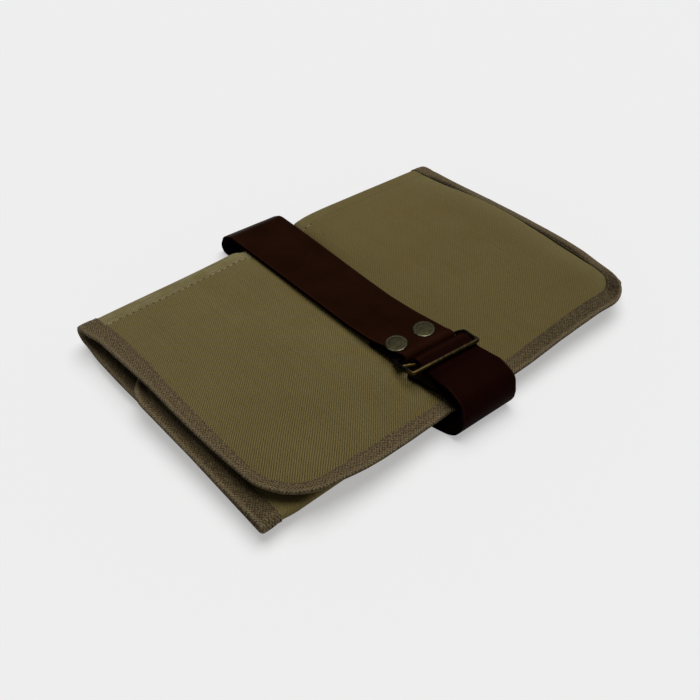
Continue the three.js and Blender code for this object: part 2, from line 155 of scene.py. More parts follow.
# The tape's painted light and shade: darker above 0 and solid dark towards 1.6, paler below 0. Painted shade
# lies on its nose, the bottom panel, the flap's right front and the crease, with dirt as well on the inner
# flap and in the right front corner; a painted highlight lies on the crest, and painted light where the
# inner flap lies in shade. The crest's and the crease shadow's edges are distances out from the sheet's edge
NOSE_SHADE = 0.25
CREST_HIGHLIGHT = -0.2
CREST_EDGE = -1
CORNER_SHADE_AND_GRIME = 0.7
FRONT_SHADE = 0.48
BOTTOM_SHADE = 0.38
INNER_SHADE_AND_GRIME = 0.5
INNER_PAINTED_LIGHT = 1.1
CREASE_SHADOW_EDGES = (-8.7, -7.0)

# The strap: its middle, its usual width, half its thickness, its turn at the rings, and its edges
STRAP_X = -4
STRAP_WIDTH = 33.4
HALF_STRAP = 1.1
STRAP_SKEW = -0.12
EDGE_ROUND = 0.75
EDGE_ANGLE = 0.6
# A burnished line with a painted highlight along the rims, and where painted shade fades in from the near
# edge
RIM_BURNISH_AND_HIGHLIGHT = -0.14
SHADE_SPAN = (3, 7)
SHARPEST_BEND = 0.3

# The strap's route, seen from its near edge: y, z, radius, skew, the x of both edges at each bend, and
# painted light:
# above 0 where it is covered, with painted shade along its near edge, below 0 a painted highlight on a ridge
ROUTE = np.array([
    (-30, 13.5, 0, 0, -20.7, 12.7, 1),
    (-46.4, 15.05, 2.5, 0.6, -20.4, 12.7, 1),
    (-48.6, 13, 2.5, 0.7, -20.2, 13, 1),
    (-53.8, 13, 2.1, 0.7, -20.4, 14, 1),
    (-53.8, 18.1, 2.7, 0.7, -17.2, 14.6, -0.14),
    (-48, 17.9, 8, 0.6, -18.2, 13.4, 0),
    (-28, 16, 30, 0, -20.7, 12.7, 0),
    (-12, 14.8, 40, 0, -20.7, 12.8, 0),
    (89.6, 15.4, 10, 0.25, -21.4, 15, 0),
    (97.2, 11.2, 4.5, 0.5, -21.4, 15.1, 0),
    (101.8, 1.1, 3.4, 0.5, -21.4, 13.2, 0.5),
    (54, 1.1, 20, 0, -21, 12.4, 0),
    (43, 3.5, 20, 0, -21, 12.4, 0),
    (-94.2, 3.5, 5, 0.4, -23.6, 12.2, 1),
    (-94, 14.4, 4.2, 0.4, -20.8, 12.4, 1),
    (-80, 15, 20, 0.6, -19.6, 12.6, 1),
    (-70, 13.3, 15, 0.9, -20.4, 14, 1),
    (-61, 13.14, 0, 0.8, -21.8, 15.4, 1),
    (-56.2, 13.05, 2, 0.7, -16.6, 17.5, 1),
    (-56.2, 18.7, 2.9, 0.7, -14.4, 19.6, -0.14),
    (-67.3, 15.9, 10, 1, -16, 17.4, 0.6),
    (-82, 19.7, 14, 0.7, -18.8, 15.8, 0),
    (-93.6, 19.1, 7, 0.5, -20.8, 14.2, 0),
    (-96.9, 11.4, 10, 0.4, -22.6, 13, 0),
    (-96.5, 1.1, 7, 0.4, -24.8, 12.4, 0.6),
    (-81, 1.1, 0, 0.2, -27.4, 10.5, 1),
    (40, 1.1, 0, 0, -21.6, 11.8, 0),
])

# The two rings: the corners of each as x, y and radius from the middle of its rear bar, its place and turns,
# how far its far side is bent up, and where it turns bright towards its near side and its front bar;
# elsewhere its wire is near black, tarnish and painted shade
WIRE_RADIUS = 1.15
RINGS = {
    "ring_inner": dict(
        corners=[(17.6, 0, 2.4), (-18.6, 0, 1.6), (-18.6, -6.2, 1.6), (-6.8, -10.7, 6), (17.6, -10.7, 2.4)],
        place=(-1.7, -49.05, 14.9), lift=0, roll=-1, bent=0, bright_near=(8, 11), bright_front=(3.5, 5.2)),
    "ring_outer": dict(
        corners=[(19.4, 0, 5.5), (-20.9, 0, 3), (-20.9, -15.2, 1.5), (21.4, -13.95, 1.5)],
        place=(-0.8, -51.4, 15.35), lift=14.76, roll=0, bent=1.7,
        bright_near=(2, 16), bright_front=(11, 13.5)),
}
RING_FAR_SIDE = (15, 20)
RING_BEND = (-5, 4)

# The two rivets
RIVET_X = -4.9
RIVET_Y = -43.7
RIVET_SKEW = 0.6
RIVET_SPREAD = 8.9
RIVET_CAP = 11.8
RIVET_CAP_HEIGHT = 1.1
RIVET_FOOT = 5.2
RIVET_FOOT_HEIGHT = 0.6
RIVET_POST = 3
RIVET_LEAN = (math.radians(4), math.radians(-4))
NEAR_SIDE = math.radians(215)

# A cap's brightness by the distance from its rim, all round it, and a painted highlight on its near side's
# rim
CAP_SHINE = np.array([(-1.7, 0.55), (-1.2, 0.75), (-0.3, 0.9), (0, 0.5)])
CAP_HIGHLIGHT = np.array([(-0.9, 0), (-0.35, 1.3), (0, 0.6)])
CAP_EDGE = 0.3

# How finely the pieces are divided; the canvas by a step for each stretch, and by runs from, to and in steps
SEAM_V = FLAP_START + SEAM_ALONG
STRETCH_STEPS = (4, 0.35, 5, 0.8, 1.4)
SEAM_ROWS = (SEAM_V - 3, SEAM_V + 3, 0.5)
CANVAS_COLUMNS = [(-HALF_LENGTH, 106, 1.9), (106, 118, 0.6), (118, HALF_LENGTH, 1.4)]
ARC_POINTS = 16
TAPE_STEP = 1.5
STITCH_STEP = 1.0
STRAP_COLUMNS = 22
STRAP_LONGEST = 2.5
STRAP_SHORTEST = 0.05
STRAP_TURN = math.radians(6)
RING_LONGEST = 1.5
RING_TURN = math.radians(10)
RING_SIDES = 20
RIVET_SIDES = 56

# The twill's ribs for each millimetre along and across the sheet, and the lengths of the tape's weave
TWILL_ALONG = 0.69
TWILL_ACROSS = 0.71
TAPE_COLUMN = 2.4
TAPE_RIB = 1.3
TAPE_PICK = 1.7
TAPE_ROW = 1.5

# Dark seeds in the canvas of the flap: distance along the roll, distance past the back fold, and size
SEEDS = [(-103, 55.5, 0.55), (-56, 82.5, 0.4), (20.5, 18.5, 0.5), (60, 40, 0.35), (-20.5, 120, 0.35),
         (84, 96, 0.4)]

# The studio: its floor, with a half width in metres, its backdrop, and its light, with a width in degrees
FLOOR_SIZE = 14.0
FLOOR_GREY = 0.46
FLOOR_GLOW = 0.385
HORIZON = 0.855
OVERHEAD = 0.13
FADE_HEIGHT = 0.35
LIGHT_TOWARDS = (0.3, 0.2, 1.0)
LIGHT_WIDTH = 56
LIGHT_POWER = 2.88

# The camera of the photograph: focal length in its pixels, and where it stands
PICTURE = 700
FOCAL = 800
SENSOR = 36
CLIP_START = 10
CAMERA_YAW = math.radians(-41.06)
CAMERA_PITCH = math.radians(42.7)
CAMERA_PLACE = Vector((-223.85, -249.92, 285.40))


def lerp(a, b, t):
    return a + (b - a) * t


def rising(x, low, high):
    t = np.clip((x - low) / (high - low), 0, 1)
    return t * t * (3 - 2 * t)


def falling(x, low, high):
    return 1 - rising(x, low, high)


def hump(x, middle, width):
    return np.exp(-((x - middle) / width) ** 2)


def unit(vectors):
    return vectors / np.maximum(np.linalg.norm(vectors, axis=-1, keepdims=True), 1e-12)


def distance_gone(places):
    """The distance gone along a line of places, at each of them."""
    return np.concatenate([[0], np.cumsum(np.linalg.norm(np.diff(places, axis=0), axis=1))])


def waves(p, q, seed, reach):
    """Smooth unevenness over a surface: a sum of slow sine waves in seeded directions, about -1 to 1."""
    count = 10
    rng = np.random.default_rng(seed)
    total = 0
    for _ in range(count):
        angle, phase = rng.uniform(0, 2 * np.pi, 2)
        length = reach * rng.uniform(0.6, 1.8)
        total = total + np.sin(2 * np.pi * (np.cos(angle) * p + np.sin(angle) * q) / length + phase)
    return total / math.sqrt(count)


# The folded sheet: u runs along the roll, v across the flat sheet, and past is v from the start of the flap.
# A rising or falling step has a start and an end, and a hump has a middle and a width.

def flap_puckers(u, past):
    """Small puckers beside the tape, down the flap's left side and along its front."""
    left = hump(u + HALF_LENGTH, 11, 9) * np.sin(past / 2.3 + waves(past, 0, 5, 30))
    front = hump(FLAP_LENGTH - past, 9, 9) * np.sin(u / 2.6 + waves(u, 0, 6, 34))
    return left + front


def flap_bulge(u, past):
    """The cloth bulges along the right side, and less near the two ends of that side."""
    bulge = rising(u, 84, 110) * falling(u, 111.5, 115.4) * rising(past, 2, 26)
    fullness = 1.15 - 0.35 * hump(past, 20, 16) - 0.95 * hump(past, 112, 20)
    return bulge * falling(past, 138, 157) * fullness


def flap_relief(u, past):
    """Height of the flap over its smooth sections: ripples, puckers, a dip at the seam, a ridge on the left,
    and on the right a bulge, a raised edge and a drooping corner."""
    free = rising(np.abs(u - STRAP_X), 24, 44) * rising(past, 0, 14)
    ripples = BROAD_RIPPLE * waves(u, past, 3, 70) + FINE_RIPPLE * waves(u, past, 4, 20)
    ridge = hump(past - 0.05 * (u + 60), 129, 12) * rising(-u, 24, 60) * falling(-u, 104, 122)
    right = np.maximum(u - (HALF_LENGTH - CORNER_RADIUS), 0)
    forward = np.maximum(past - (FLAP_LENGTH - CORNER_RADIUS), 0)
    droop = rising(np.hypot(right, forward), 12, 25) * rising(past, 122, 142) * rising(u, 84, 106)
    raised = rising(u, 112, 124) * hump(past, 112, 18)
    return (ripples * free + PUCKER * flap_puckers(u, past) * free + BULGE * flap_bulge(u, past)
            + RIDGE * ridge - SEAM_DIP * hump(past, SEAM_ALONG, 1.2) - CORNER_DROOP * droop
            + RAISED_EDGE * raised)


def drawn_in(u, past):
    """How far along the roll the flap's ends are drawn in towards its middle."""
    left = DRAWN_LEFT * rising(past, 0, 18) - EASED_LEFT * rising(past, 55, 95)
    right = DRAWN_RIGHT * rising(past, 60, 115) + DRAWN_RIGHT * hump(past, 115, 20)
    return left * rising(-u, 70, 125) - right * rising(u, 85, 125) * falling(past, 138, 156)


def section_at(x):
    """The sections' values at x, on a smooth curve through the table's rows."""
    last = len(SECTIONS) - 1
    at = np.clip(x, SECTIONS[0, 0], SECTIONS[last, 0])
    i = np.clip(np.searchsorted(SECTIONS[:, 0], at, side="left") - 1, 0, last - 1)
    a, b = SECTIONS[i], SECTIONS[i + 1]
    before, after = SECTIONS[np.maximum(i - 1, 0)], SECTIONS[np.minimum(i + 2, last)]
    span = b[..., :1] - a[..., :1]
    t = (at[..., None] - a[..., :1]) / span
    slope_a = (b - before) / (b[..., :1] - before[..., :1]) * span
    slope_b = (after - a) / (after[..., :1] - a[..., :1]) * span
    value = ((1 + 2 * t) * (1 - t) ** 2 * a + t * (1 - t) ** 2 * slope_a
             + t * t * (3 - 2 * t) * b + t * t * (t - 1) * slope_b)
    return SimpleNamespace(**{key: value[..., k] for k, key in enumerate(SECTION_KEYS)})


def front_fold_y(u):
    """Where the front fold lies; it comes further out on the left."""
    return FRONT_Y - (0.9 + 1.2 * rising(u, -119, -107)) * falling(u, 0, 60)


def inner_flap(u, v, s):
    t = v / INNER_LENGTH
    top = BOTTOM_Z + s.fold
    dish = rising(u, -124, -117.5) * falling(u, -104, -84)
    dish = dish * (DISH + BACK_DISH * falling(t, 0.25, 0.7)) * rising(1 - t, 0, 0.16)
    y = lerp(INNER_Y, front_fold_y(u) + s.fold / 2, t)
    return u + lerp(INNER_SHIFT, BOTTOM_SHIFT, t), y, top + (s.inner - top) * (1 - t) ** 2 - dish


def front_fold(u, v, s):
    angle = np.pi * (v - INNER_LENGTH) / FRONT_LENGTH
    radius = s.fold / 2
    y = front_fold_y(u) + radius * (1 - np.sin(angle))
    return u + BOTTOM_SHIFT, y, BOTTOM_Z + radius * (1 + np.cos(angle))


def bottom_panel(u, v, s):
    t = (v - BOTTOM_START) / BOTTOM_LENGTH
    spread = SPREAD * rising(-u, 80, 125) * rising(t, 0.52, 0.8) * rising(1 - t, 0, 0.12)
    y = lerp(front_fold_y(u) + s.fold / 2, BACK_Y - BACK_REACH, t)
    return u + lerp(BOTTOM_SHIFT, 0, t) - spread, y, BOTTOM_Z + 0 * u


def back_fold(u, v, s):
    angle = np.pi * (v - BACK_START) / BACK_LENGTH
    radius = (s.back - BOTTOM_Z) / 2
    return u, BACK_Y - BACK_REACH * (1 - np.sin(angle)), BOTTOM_Z + radius * (1 - np.cos(angle))


def top_flap(u, v, s):
    past = v - FLAP_START
    t = past / FLAP_LENGTH
    droop = np.maximum(0, (t - FLAP_CREST) / (1 - FLAP_CREST)) ** 2
    along = u * (1 - FLAP_TAPER * droop) + FLAP_SHIFT * rising(t, 0, FLAP_SHIFT_END) + FLAP_TWIST * droop
    height = lerp(lerp(s.back, s.crown, rising(t, 0, FLAP_CREST)), s.lip, droop)
    y = lerp(BACK_Y - BACK_REACH, s.reach, t)
    return along + drawn_in(u, past), y, height + flap_relief(u, past)


def folded(u, v):
    """Where the point (u, v) of the flat sheet lies once the sheet is folded."""
    u, v = np.broadcast_arrays(np.asarray(u, float), np.asarray(v, float))
    section = section_at(u)
    stretches = (inner_flap, front_fold, bottom_panel, back_fold, top_flap)
    which = np.searchsorted(STRETCH_ENDS[1:-1], v, side="right")
    return np.choose(which[..., None], [np.stack(stretch(u, v, section), -1) for stretch in stretches])


def folded_normal(u, v):
    """The side of the sheet that faces in when it is folded."""
    step = 0.25
    along = folded(u + step, v) - folded(u - step, v)
    across = folded(u, v + step) - folded(u, v - step)
    return unit(np.cross(along, across))


def lifted(u, v, lift):
    return folded(u, v) + folded_normal(u, v) * np.asarray(lift)[..., None]


def corner_inset(v):
    """How far the sheet's side is drawn in at v by its rounded corners."""
    from_edge = np.minimum(v, SHEET_WIDTH - v)
    inside = np.clip(CORNER_RADIUS - from_edge, 0, CORNER_RADIUS)
    return CORNER_RADIUS - np.sqrt(CORNER_RADIUS ** 2 - inside ** 2)


# Meshes

def add_object(name, data):
    piece = bpy.data.objects.new(name, data)
    bpy.context.scene.collection.objects.link(piece)
    return piece


def make_piece(name, points, faces, uvs=None, wear_and_painted_light=None):
    """A mesh piece in the frame from points in millimetres; uvs are a pair of millimetres for each point."""
    mesh = bpy.data.meshes.new(name)
    mesh.from_pydata((np.asarray(points).reshape(-1, 3) + SHIFT) * MM, [], [list(face) for face in faces])
    if uvs is not None:
        layer = mesh.uv_layers.new(name="cloth")
        corner = np.empty(len(mesh.loops), dtype=np.int32)
        mesh.loops.foreach_get("vertex_index", corner)
        at_corners = np.asarray(uvs).reshape(-1, 2)[corner] * MM
        layer.uv.foreach_set("vector", at_corners.ravel().astype(np.float32))
    # each point's value carries painted light and shade as well as tarnish, rubbing and dirt
    if wear_and_painted_light is not None:
        layer = mesh.attributes.new("wear_and_painted_light", "FLOAT", "POINT")
        layer.data.foreach_set("value", np.asarray(wear_and_painted_light, np.float32).ravel())
    mesh.polygons.foreach_set("use_smooth", np.full(len(mesh.polygons), True))
    mesh.validate()
    mesh.update()
    return add_object(name, mesh)


def grid_faces(rows, columns, around=False, loop=False):
    """Quads of a grid of points: around closes its columns, loop closes its rows."""
    row = np.arange(rows if loop else rows - 1)
    column = np.arange(columns if around else columns - 1)
    i, j = np.meshgrid(row, column, indexing="ij")
    next_i, next_j = (i + 1) % rows, (j + 1) % columns
    corners = [i * columns + j, i * columns + next_j, next_i * columns + next_j, next_i * columns + j]
    return np.stack(corners, -1).reshape(-1, 4)


def tube_faces(rows, columns):
    """The faces of a closed tube: its quads and its two ends."""
    last = (rows - 1) * columns
    ends = [list(range(columns))[::-1], list(range(last, last + columns))]
    return grid_faces(rows, columns, around=True).tolist() + ends


def turned(points, matrix):
    """Points moved by a matrix."""
    matrix = np.array(matrix)
    return points.reshape(-1, 3) @ matrix[:3, :3].T + matrix[:3, 3]


def dress(piece, materials, slot, *nodes):
    """Gives a piece its materials and its place on the object."""
    for material in materials:
        piece.data.materials.append(material)
    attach(piece, "root")
    if nodes:
        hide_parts(*nodes)
    return piece


# Materials

class Nodes:
    """A material's nodes, added one call at a time."""

    def __init__(self, name):
        self.material = bpy.data.materials.new(name)
        self.material.use_nodes = True
        self.tree = self.material.node_tree
        self.shader = self.tree.nodes["Principled BSDF"]

    def add(self, kind, inputs=None, **settings):
        node = self.tree.nodes.new("ShaderNode" + kind)
        for key, value in settings.items():
            setattr(node, key, value)
        for key, value in (inputs or {}).items():
            self.put(node.inputs[key], value)
        return node

    def put(self, socket, value):
        if isinstance(value, bpy.types.NodeSocket):
            self.tree.links.new(value, socket)
        else:
            socket.default_value = value

    def math(self, operation, a, b=0.0, c=0.0):
        return self.add("Math", {0: a, 1: b, 2: c}, operation=operation).outputs[0]

    def times(self, a, b):
        return self.math("MULTIPLY", a, b)

    def times_plus(self, a, b, c):
        return self.math("MULTIPLY_ADD", a, b, c)

    def sine(self, value, turns):
        """A sine wave with a number of turns for each millimetre."""
        return self.math("SINE", self.times(value, 2 * math.pi * turns))

    def mix(self, factor, a, b):
        return self.add("Mix", {0: factor, 6: a, 7: b}, data_type="RGBA", clamp_factor=True).outputs[2]

    def span(self, value, low, high, to_low=0.0, to_high=1.0):
        return self.add("MapRange", {0: value, 1: low, 2: high, 3: to_low, 4: to_high}).outputs[0]

    def noise(self, vector, scale, detail=3.0, roughness=0.5):
        inputs = {"Vector": vector, "Scale": scale, "Detail": detail, "Roughness": roughness}
        return self.add("TexNoise", inputs).outputs["Fac"]

    def streaks(self, vector, stretch, scale, detail):
        """Noise drawn out along an axis: stretch is a scale for each axis."""
        return self.noise(self.add("Mapping", {0: vector, 3: stretch}).outputs[0], scale, detail)

    def cells(self, vector, scale):
        return self.add("TexVoronoi", {"Vector": vector, "Scale": scale}).outputs["Distance"]

    def place(self):
        return self.add("TexCoord").outputs["Object"]

    def wear_and_painted_light(self):
        return self.add("Attribute", attribute_name="wear_and_painted_light").outputs["Fac"]

    def cloth(self):
        """The piece's own flat coordinates, in millimetres."""
        flat = self.add("UVMap", uv_map="cloth").outputs[0]
        return self.add("VectorMath", {0: flat, 3: 1 / MM}, operation="SCALE").outputs[0]

    def split(self, vector):
        return self.add("SeparateXYZ", {0: vector}).outputs[:2]

    def bump(self, height, distance, strength):
        inputs = {"Height": height, "Distance": distance, "Strength": strength}
        return self.add("Bump", inputs).outputs[0]

    def finish(self, **inputs):
        for key, value in inputs.items():
            self.put(self.shader.inputs[key.replace("_", " ")], value)
        return self.material


def rgb(red, green, blue):
    """A linear colour from 0 to 255 screen values."""
    def linear(value):
        share = value / 255
        return share / 12.92 if value <= 10 else ((share + 0.055) / 1.055) ** 2.4
    return (linear(red), linear(green), linear(blue), 1.0)


def canvas_weave(n, flat, u, v):
    """Height of the twill: slanting ribs over a finer plain weave."""
    wobble = n.noise(flat, 0.25, 2)
    phase = n.times_plus(u, TWILL_ALONG, n.times(v, TWILL_ACROSS))
    rib = n.sine(n.times_plus(wobble, 0.5, phase), 1)
    warp = n.sine(u, 2 * TWILL_ALONG)
    weft = n.sine(v, 2 * TWILL_ACROSS)
    even = n.span(n.noise(flat, 0.45, 3, 0.6), 0.3, 0.7, 0.35, 1.15)
    return n.times_plus(n.times(warp, weft), 0.35, n.times(rib, even))


def canvas_tone(n, flat):
    """The cloth's uneven tone: patches, warm and cool stains, and slubs along its threads."""
    patches = n.noise(flat, 0.018, 4, 0.55)
    stains = n.noise(flat, 0.055, 3, 0.6)
    long_slub = n.streaks(flat, (0.02, 0.9, 1), 1, 2)
    cross_slub = n.streaks(flat, (0.9, 0.02, 1), 1, 2)
    shade = n.mix(n.span(patches, 0.3, 0.7), rgb(103, 91, 51), rgb(112, 100, 58))
    shade = n.mix(n.span(stains, 0.5, 0.72, 0, 0.5), shade, rgb(104, 87, 46))
    shade = n.mix(n.span(stains, 0.5, 0.28, 0, 0.5), shade, rgb(112, 102, 62))
    shade = n.mix(n.span(long_slub, 0.35, 0.75, 0, 0.35), shade, rgb(114, 101, 63))
    return n.mix(n.span(cross_slub, 0.4, 0.8, 0, 0.35), shade, rgb(84, 72, 40))


def fold_strip(n, flat, u, past):
    """How far the strip between the back fold and its seam is abraded pale, in lines along it."""
    strip = n.times(n.span(past, -10, -5), n.span(past, SEAM_ALONG - 0.5, SEAM_ALONG, 1, 0))
    strip = n.times(strip, n.span(n.noise(flat, 0.12, 3), 0.3, 0.6, 0.06, 0.24))
    strip = n.times(strip, n.span(u, -10, 40, 1, 0.1))
    lines = n.streaks(flat, (0.06, 1.4, 1), 1, 2)
    return n.times(strip, n.span(lines, 0.35, 0.65, 0.4, 1.6))


def needle_holes(n, u, past):
    """Holes at both ends of each stitch, all along the seam's row."""
    step = n.math("PINGPONG", n.math("SUBTRACT", u, SEAM_ENDS[0]), SEAM_PITCH / 2)
    off_row = n.math("ABSOLUTE", n.math("SUBTRACT", past, SEAM_ALONG))
    return n.times(n.span(step, 0.4, 0.8, 1, 0), n.span(off_row, 0.3, 0.6, 1, 0))


def canvas_material():
    """Matt twill with abraded places, a painted highlight along the bulge, needle holes along its seam
    darkened with painted shade, and a few dark seeds.
    """
    n = Nodes("canvas")
    flat = n.cloth()
    u, v = n.split(flat)
    past = n.math("SUBTRACT", v, FLAP_START)
    weave = canvas_weave(n, flat, u, v)
    flecks = n.noise(flat, 1.6, 2, 0.6)
    # the ribs show most at the front and left of the flap, where the cloth is least rubbed
    rubbed_and_highlight = n.span(n.times_plus(u, 0.6, n.times(v, -1)), -520, -290)
    depth = n.times(n.span(weave, -1.2, 1.2, 1, 0), n.span(rubbed_and_highlight, 0, 1, 1, 0.45))
    shade = n.mix(depth, canvas_tone(n, flat), rgb(54, 44, 22))
    shade = n.mix(n.span(flecks, 0.5, 0.75, 0, 0.5), shade, rgb(128, 116, 76))
    shade = n.mix(n.span(flecks, 0.25, 0.45, 0.4, 0), shade, rgb(66, 55, 30))
    # darker right of the strap, a painted highlight along the bulge, and paler between the back fold and the
    # seam
    shade = n.mix(n.span(u, STRAP_X, 24, 0, 0.42), shade, rgb(88, 75, 38))
    shade = n.mix(n.span(u, 94, 108, 0, 0.25), shade, rgb(104, 99, 66))
    shade = n.mix(fold_strip(n, flat, u, past), shade, rgb(150, 144, 112))
    hole = needle_holes(n, u, past)
    within = n.math("COMPARE", u, (SEAM_ENDS[0] + SEAM_ENDS[1]) / 2, (SEAM_ENDS[1] - SEAM_ENDS[0] + 1) / 2)
    # the needle holes are darkened with painted shade
    shade = n.mix(n.times(n.times(hole, within), 0.75), shade, rgb(52, 37, 18))
    for along, across, size in SEEDS:
        middle = (along, FLAP_START + across, 0)
        away = n.add("VectorMath", {0: flat, 1: middle}, operation="DISTANCE").outputs["Value"]
        shade = n.mix(n.span(away, size * 0.5, size, 0.8, 0), shade, rgb(40, 30, 16))
    ribbed = n.math("ADD", n.times(weave, n.span(rubbed_and_highlight, 0, 1, 0.2, 0)), 1)
    shade = n.add("VectorMath", {0: shade, 3: ribbed}, operation="SCALE").outputs[0]
    height = n.times_plus(hole, -2.0, n.times_plus(flecks, 0.7, weave))
    return n.finish(
        Base_Color=shade, Roughness=0.88, Specular_IOR_Level=0.08,
        Sheen_Weight=0.03, Sheen_Roughness=0.6,
        Normal=n.bump(height, 0.00014, 0.7))


def tape_weave(n, flat):
    """Height of the tape: raised threads in rows, and slanting ribs that turn back at each column."""
    along, across = n.split(flat)
    wobble = n.noise(flat, 0.4, 2)
    # the zigzag is counted from well outside the tape, so that it never passes zero
    zigzag = n.math("PINGPONG", n.math("ADD", across, 100), TAPE_COLUMN)
    rib = n.sine(n.times_plus(wobble, 0.6, n.math("ADD", along, zigzag)), 1 / TAPE_RIB)
    picks = n.sine(n.times_plus(wobble, 0.5, along), 1 / TAPE_PICK)
    rows = n.sine(across, 1 / TAPE_ROW)
    return n.times_plus(n.times(picks, rows), 0.85, n.times(rib, 0.4))


def tape_material():
    """Coarse woven tape with a dusty nap, a painted highlight on its crest, and painted shade with some dirt
    along its edges, under the flap and in its crease.
    """
    n = Nodes("tape")
    flat = n.cloth()
    weave = tape_weave(n, flat)
    patches = n.noise(flat, 0.05, 3)
    flecks = n.noise(flat, 1.1, 3, 0.7)
    dust = n.noise(flat, 0.35, 3, 0.6)
    shade = n.mix(n.span(patches, 0.3, 0.7), rgb(68, 56, 35), rgb(77, 64, 40))
    shade = n.mix(n.span(dust, 0.45, 0.75, 0, 0.5), shade, rgb(99, 85, 57))
    shade = n.mix(n.span(weave, -0.9, 0.1, 0.85, 0), shade, rgb(30, 22, 12))
    shade = n.mix(n.span(weave, 0, 1, 0, 0.6), shade, rgb(126, 110, 79))
    shade = n.mix(n.span(flecks, 0.49, 0.64, 0, 0.6), shade, rgb(126, 109, 76))
    shade = n.mix(n.span(flecks, 0.32, 0.47, 0.75, 0), shade, rgb(32, 23, 12))
    wear_and_painted_light = n.wear_and_painted_light()
    # paler below 0: a painted highlight on the crest and painted light under the inner flap
    shade = n.mix(n.span(wear_and_painted_light, 0, -1, 0, 0.9), shade, rgb(140, 126, 100))
    # darker above 0: painted shade with some dirt, solid in the crease's painted shadow
    painted_shade_and_grime = n.times(n.span(wear_and_painted_light, 0, 1), n.span(dust, 0.35, 0.62, 1, 0.5))
    painted_shade_and_grime = n.math("MAXIMUM", painted_shade_and_grime, n.span(wear_and_painted_light, 1, 1.6))
    shade = n.mix(painted_shade_and_grime, shade, rgb(34, 23, 2))
    return n.finish(
        Base_Color=shade, Roughness=0.92, Specular_IOR_Level=0.06,
        Sheen_Weight=0.05, Sheen_Roughness=0.6,
        Normal=n.bump(n.times_plus(flecks, 1.4, weave), 0.0002, 0.8))


def leather_material(name, deep, pale, rubbed_and_highlight, roughness):
    """Smooth dark leather with paler clouds, faint streaks and pores; below 0 a painted highlight and
    burnished rims, above 0 painted shade.
    """
    n = Nodes(name)
    flat = n.cloth()
    clouds = n.noise(flat, 0.035, 4, 0.6)
    streaks = n.streaks(flat, (0.05, 0.5, 1), 1, 3)
    pores = n.cells(flat, 1.5)
    grain = n.noise(flat, 0.8, 4, 0.65)
    wear_and_painted_light = n.wear_and_painted_light()
    shade = n.mix(n.span(clouds, 0.3, 0.7), deep, pale)
    shade = n.mix(n.span(streaks, 0.45, 0.75, 0, 0.3), shade, pale)
    shade = n.mix(n.span(pores, 0, 0.25, 0.35, 0), shade, rgb(8, 3, 2))
    # a painted highlight and burnished rims below 0, near black painted shade above 0
    shade = n.mix(n.span(wear_and_painted_light, 0, -1), shade, rubbed_and_highlight)
    shade = n.mix(n.span(wear_and_painted_light, 0, 1), shade, rgb(5, 2, 2))
    height = n.times_plus(grain, 0.8, n.span(pores, 0, 0.3, -0.6, 0))
    return n.finish(
        Base_Color=shade, Roughness=n.span(clouds, 0.3, 0.7, roughness + 0.05, roughness - 0.05),
        Specular_IOR_Level=0.006, Specular_Tint=rgb(255, 190, 160),
        Normal=n.bump(height, 0.0001, 0.5))


def edge_material():
    """The strap's burnished edges, with the layers of the hide just showing."""
    n = Nodes("leather_edge")
    strata = n.streaks(n.cloth(), (0.15, 3, 1), 1, 3)
    shade = n.mix(n.span(strata, 0.35, 0.75), rgb(5, 3, 3), rgb(15, 6, 4))
    return n.finish(
        Base_Color=shade, Roughness=0.7, Specular_IOR_Level=0.0,
        Normal=n.bump(strata, 0.0001, 0.5))


def metal_material(name, dark, bright, spots, rough_low, rough_high):
    """Old plated metal: tarnished dark at 0, where the rings also carry painted shade, bright at 1, and a
    painted highlight at 2.
    """
    n = Nodes(name)
    place = n.place()
    patina_and_painted_light = n.times_plus(n.math("SUBTRACT", n.wear_and_painted_light(), 0.6), 0.6, n.noise(place, spots, 4, 0.6))
    scratches = n.streaks(place, (1, 9, 2), 900, 2)
    shade = n.mix(n.span(patina_and_painted_light, 0.2, 0.9), dark, bright)
    # a pale painted highlight, reached only on the rivets' near rims
    shade = n.mix(n.span(patina_and_painted_light, 1, 1.5), shade, rgb(150, 146, 120))
    return n.finish(
        Base_Color=shade, Metallic=1.0,
        Roughness=n.span(n.times_plus(scratches, 0.5, patina_and_painted_light), 0.5, 1, rough_high, rough_low),
        Normal=n.bump(n.times_plus(scratches, 0.3, patina_and_painted_light), 0.00003, 0.5))


def thread_material(name, light, dark):
    """Twisted thread, soiled in places."""
    n = Nodes(name)
    place = n.place()
    ply = n.noise(place, 2500, 2)
    soiled = n.noise(place, 160, 2)
    shade = n.mix(n.span(ply, 0.35, 0.65), dark, light)
    shade = n.mix(n.span(soiled, 0.42, 0.62, 0, 0.8), shade, dark)
    return n.finish(Base_Color=shade, Roughness=0.8, Normal=n.bump(ply, 0.00005, 0.6))


# The canvas

def spaced(start, end, step):
    return np.linspace(start, end, max(2, round((end - start) / step) + 1))


def joined(*runs):
    return np.unique(np.round(np.concatenate(runs), 6))


def divided(steps):
    """Places across the sheet between its rounded corners, with a step for each stretch."""
    return joined(*map(spaced, STRETCH_ENDS, STRETCH_ENDS[1:], steps))


